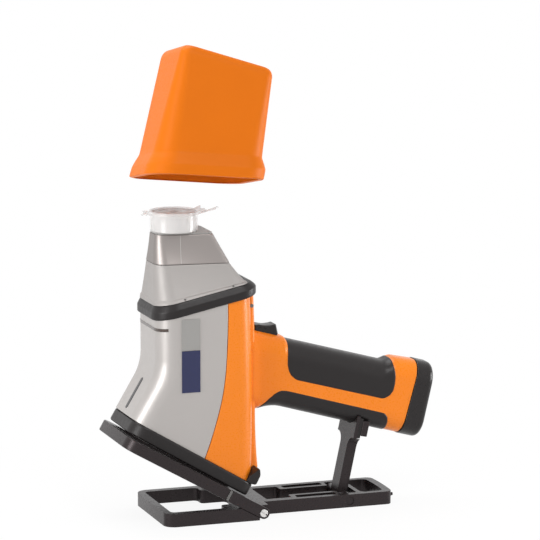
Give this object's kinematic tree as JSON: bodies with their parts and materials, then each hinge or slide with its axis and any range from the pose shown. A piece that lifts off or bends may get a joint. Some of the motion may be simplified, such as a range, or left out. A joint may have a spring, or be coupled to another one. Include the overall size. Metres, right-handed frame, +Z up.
{
  "type": "handheld xrf analyzer in bench stand",
  "caption": "Handheld X-ray fluorescence analyser lying nose-up in a folding black bench stand, with a sample cup on its nose window and an orange lift-off safety shield above it",
  "frame": {"origin": "on the bench under the stand's hinge axis, on the middle plane", "axes": "X along the stand towards the handle end, Y across the stand, Z up"},
  "size_m": [0.2936, 0.1115, 0.4062],
  "materials": {
    "stand_black": "satin",
    "bright_steel": "satin",
    "rubber_black": "matte",
    "plastic_black": "matte",
    "housing_silver": "satin",
    "nose_nickel": "satin",
    "housing_orange": "satin",
    "shield_orange": "satin",
    "navy_plate": "gloss",
    "grey_plate": "satin",
    "display_glass": "gloss",
    "board_green": "satin",
    "cup_clear": "gloss",
    "sample": "matte",
    "contact_gold": "satin",
    "light_lens": "gloss"
  },
  "bodies": {
    "stand_base": {"base_frame": "stand_black", "hinge_pins": "bright_steel", "leg_axle": "stand_black", "end_studs": "plastic_black"},
    "frame": {"tilt_frame": "stand_black", "hinge_arms": "stand_black", "steel_keys": "bright_steel"},
    "leg": {"prop_leg": "stand_black", "leg_pad": "rubber_black", "leg_cheek": "stand_black"},
    "analyser": {"front_shell": "housing_silver", "rear_shell_right": "housing_orange", "rear_shell_left": "housing_orange", "handle_right": "housing_orange", "handle_left": "housing_orange", "upper_grip": "rubber_black", "lower_grip": "rubber_black", "nose_cone": "housing_silver", "nose_plate": "nose_nickel", "nose_face": "nose_nickel", "window_film": "contact_gold", "rubber_band": "rubber_black", "display_bezel": "rubber_black", "display_glass": "display_glass", "display_panel": "grey_plate", "trigger_switch": "grey_plate", "battery_contacts": "contact_gold", "inner_chassis": "bright_steel", "xray_tube": "bright_steel", "high_voltage_supply": "grey_plate", "detector": "bright_steel", "main_board": "board_green", "side_plate_upper": "grey_plate", "side_plate_lower": "navy_plate", "status_light": "light_lens", "front_slot": "plastic_black", "corner_feet": "rubber_black", "housing_screws": "bright_steel"},
    "button": {"power_button": "plastic_black"},
    "trigger_body": {"trigger": "plastic_black"},
    "battery": {"battery_cap": "plastic_black", "battery_pack": "plastic_black"},
    "cup": {"cup_body": "cup_clear", "cup_ring": "cup_clear", "cup_film": "cup_clear", "sample_powder": "sample"},
    "shield": {"safety_shield": "shield_orange"}
  },
  "joints": [
    {"name": "analyser_lift", "type": "slide", "parent": "stand_base", "child": "analyser", "axis": [0, 0, 1], "range_m": [0, 0.45]},
    {"name": "frame_fold", "type": "hinge", "parent": "stand_base", "child": "frame", "pos_m": [0, 0, 0.00575], "axis": [0, 1, 0], "range_deg": [0, 149.5]},
    {"name": "leg_fold", "type": "hinge", "parent": "stand_base", "child": "leg", "pos_m": [0.0853, 0, 0.00575], "axis": [0, 1, 0], "range_deg": [-102, 0]},
    {"name": "cup_lift", "type": "slide", "parent": "analyser", "child": "cup", "axis": [0, 0, 1], "range_m": [0, 0.02]},
    {"name": "shield_path", "type": "hinge", "parent": "analyser", "child": "shield", "pos_m": [0.19625, 0.155, 0.21572], "axis": [-0.5315, 0.8445, -0.0657], "range_deg": [-21.27, 0]},
    {"name": "trigger_pull", "type": "slide", "parent": "analyser", "child": "trigger_body", "axis": [0, 0, -1], "range_m": [0, 0.003], "stiffness_N_per_m": 200, "springref_m": -0.001},
    {"name": "button_press", "type": "slide", "parent": "analyser", "child": "button", "axis": [0.515, 0, 0.8572], "range_m": [0, 0.0012], "stiffness_N_per_m": 400, "springref_m": -0.001},
    {"name": "battery_slide", "type": "slide", "parent": "analyser", "child": "battery", "axis": [0.9636, 0, -0.2672], "range_m": [0, 0.12]}
  ],
  "couplings": [
    {"joint": "frame_fold", "follows": "analyser_lift", "rad_per_m": 5.779}
  ]
}
